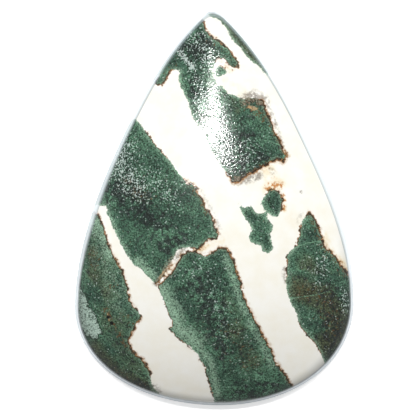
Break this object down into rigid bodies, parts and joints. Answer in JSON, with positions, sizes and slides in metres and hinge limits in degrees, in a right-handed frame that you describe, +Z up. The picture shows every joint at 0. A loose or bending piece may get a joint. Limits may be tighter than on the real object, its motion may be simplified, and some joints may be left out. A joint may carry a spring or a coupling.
{
  "type": "polished jasper cabochon",
  "caption": "Pear-shaped polished stone cabochon, green patches in cream white, with a low dome, a thin tapered rim and a flat back to rest or be set on.",
  "frame": {"origin": "on the flat back's plane, under the middle of the stone's outline box", "axes": "+Y towards the stone's point, along its length; +Z up, out of the domed face; +X across its width"},
  "size_m": [0.0296, 0.042, 0.0062],
  "materials": {
    "jasper": "polished green and cream white jasper with brown seams"
  },
  "bodies": {
    "root": {"stone": "jasper"}
  },
  "joints": []
}
